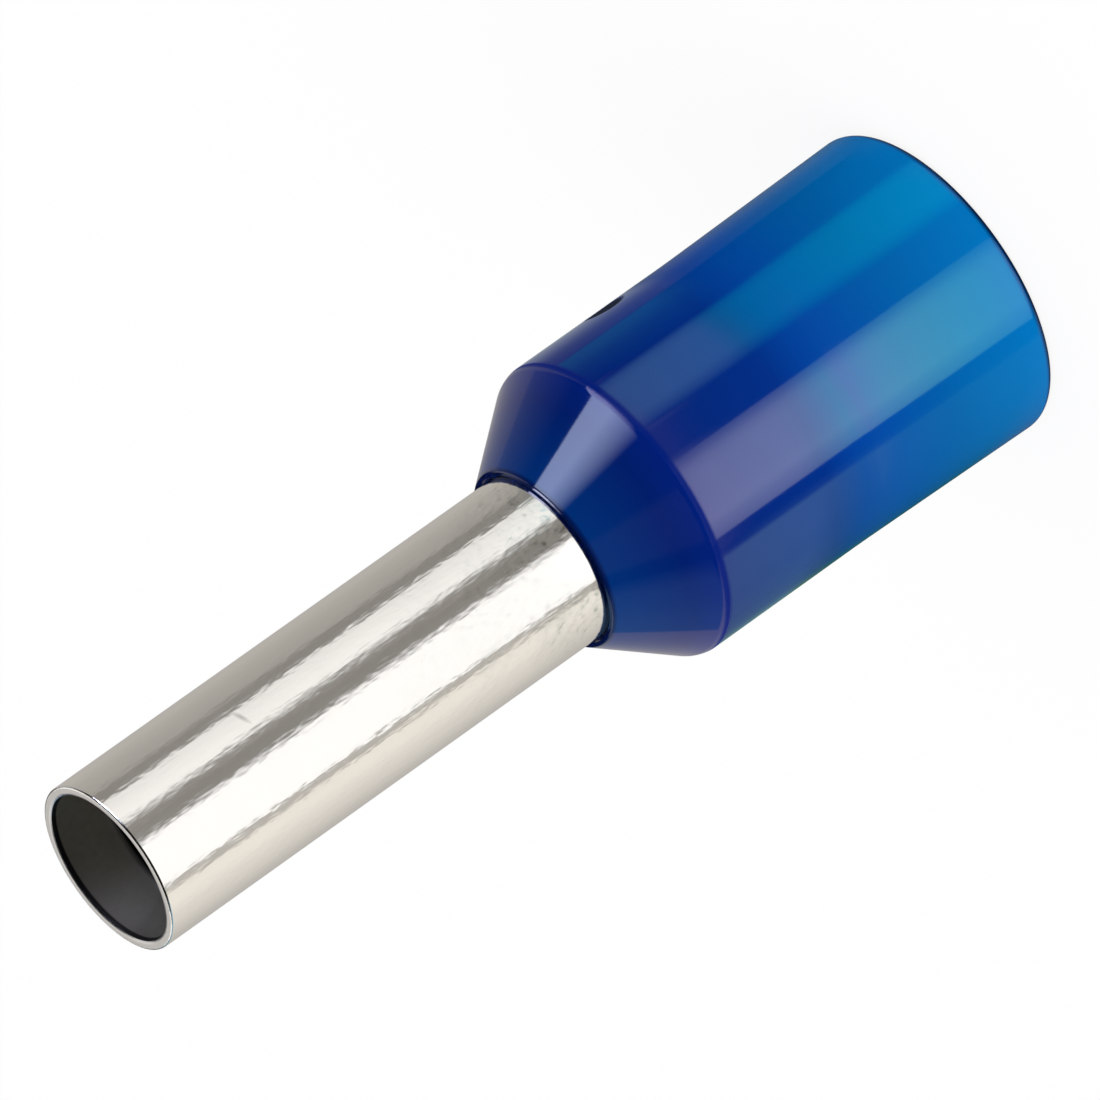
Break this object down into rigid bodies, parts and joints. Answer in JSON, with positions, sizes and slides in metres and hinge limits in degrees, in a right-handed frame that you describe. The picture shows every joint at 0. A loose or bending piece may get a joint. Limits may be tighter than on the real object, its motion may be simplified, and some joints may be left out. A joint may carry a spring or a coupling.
{
  "type": "wire ferrule",
  "caption": "Insulated wire ferrule: thin tinned copper sleeve with a belled inner end in a see-through blue plastic collar with a cone and a flared mouth.",
  "frame": {"origin": "centre of the collar's mouth, in the plane of its rim, which is the surface that the ferrule stands on", "axes": "+Z along the ferrule's axis, from the collar's mouth to the sleeve's tip; +X towards the gate scar on the collar's side"},
  "size_m": [0.0048, 0.0048, 0.0152],
  "materials": {
    "tinned_copper": "drawn tube with bright tin plating, fine lines along its length",
    "blue_polypropylene": "glossy moulded polypropylene, blue and see-through, lighter towards the mouth"
  },
  "bodies": {
    "root": {"metal_sleeve": "tinned_copper", "insulating_collar": "blue_polypropylene"}
  },
  "joints": []
}
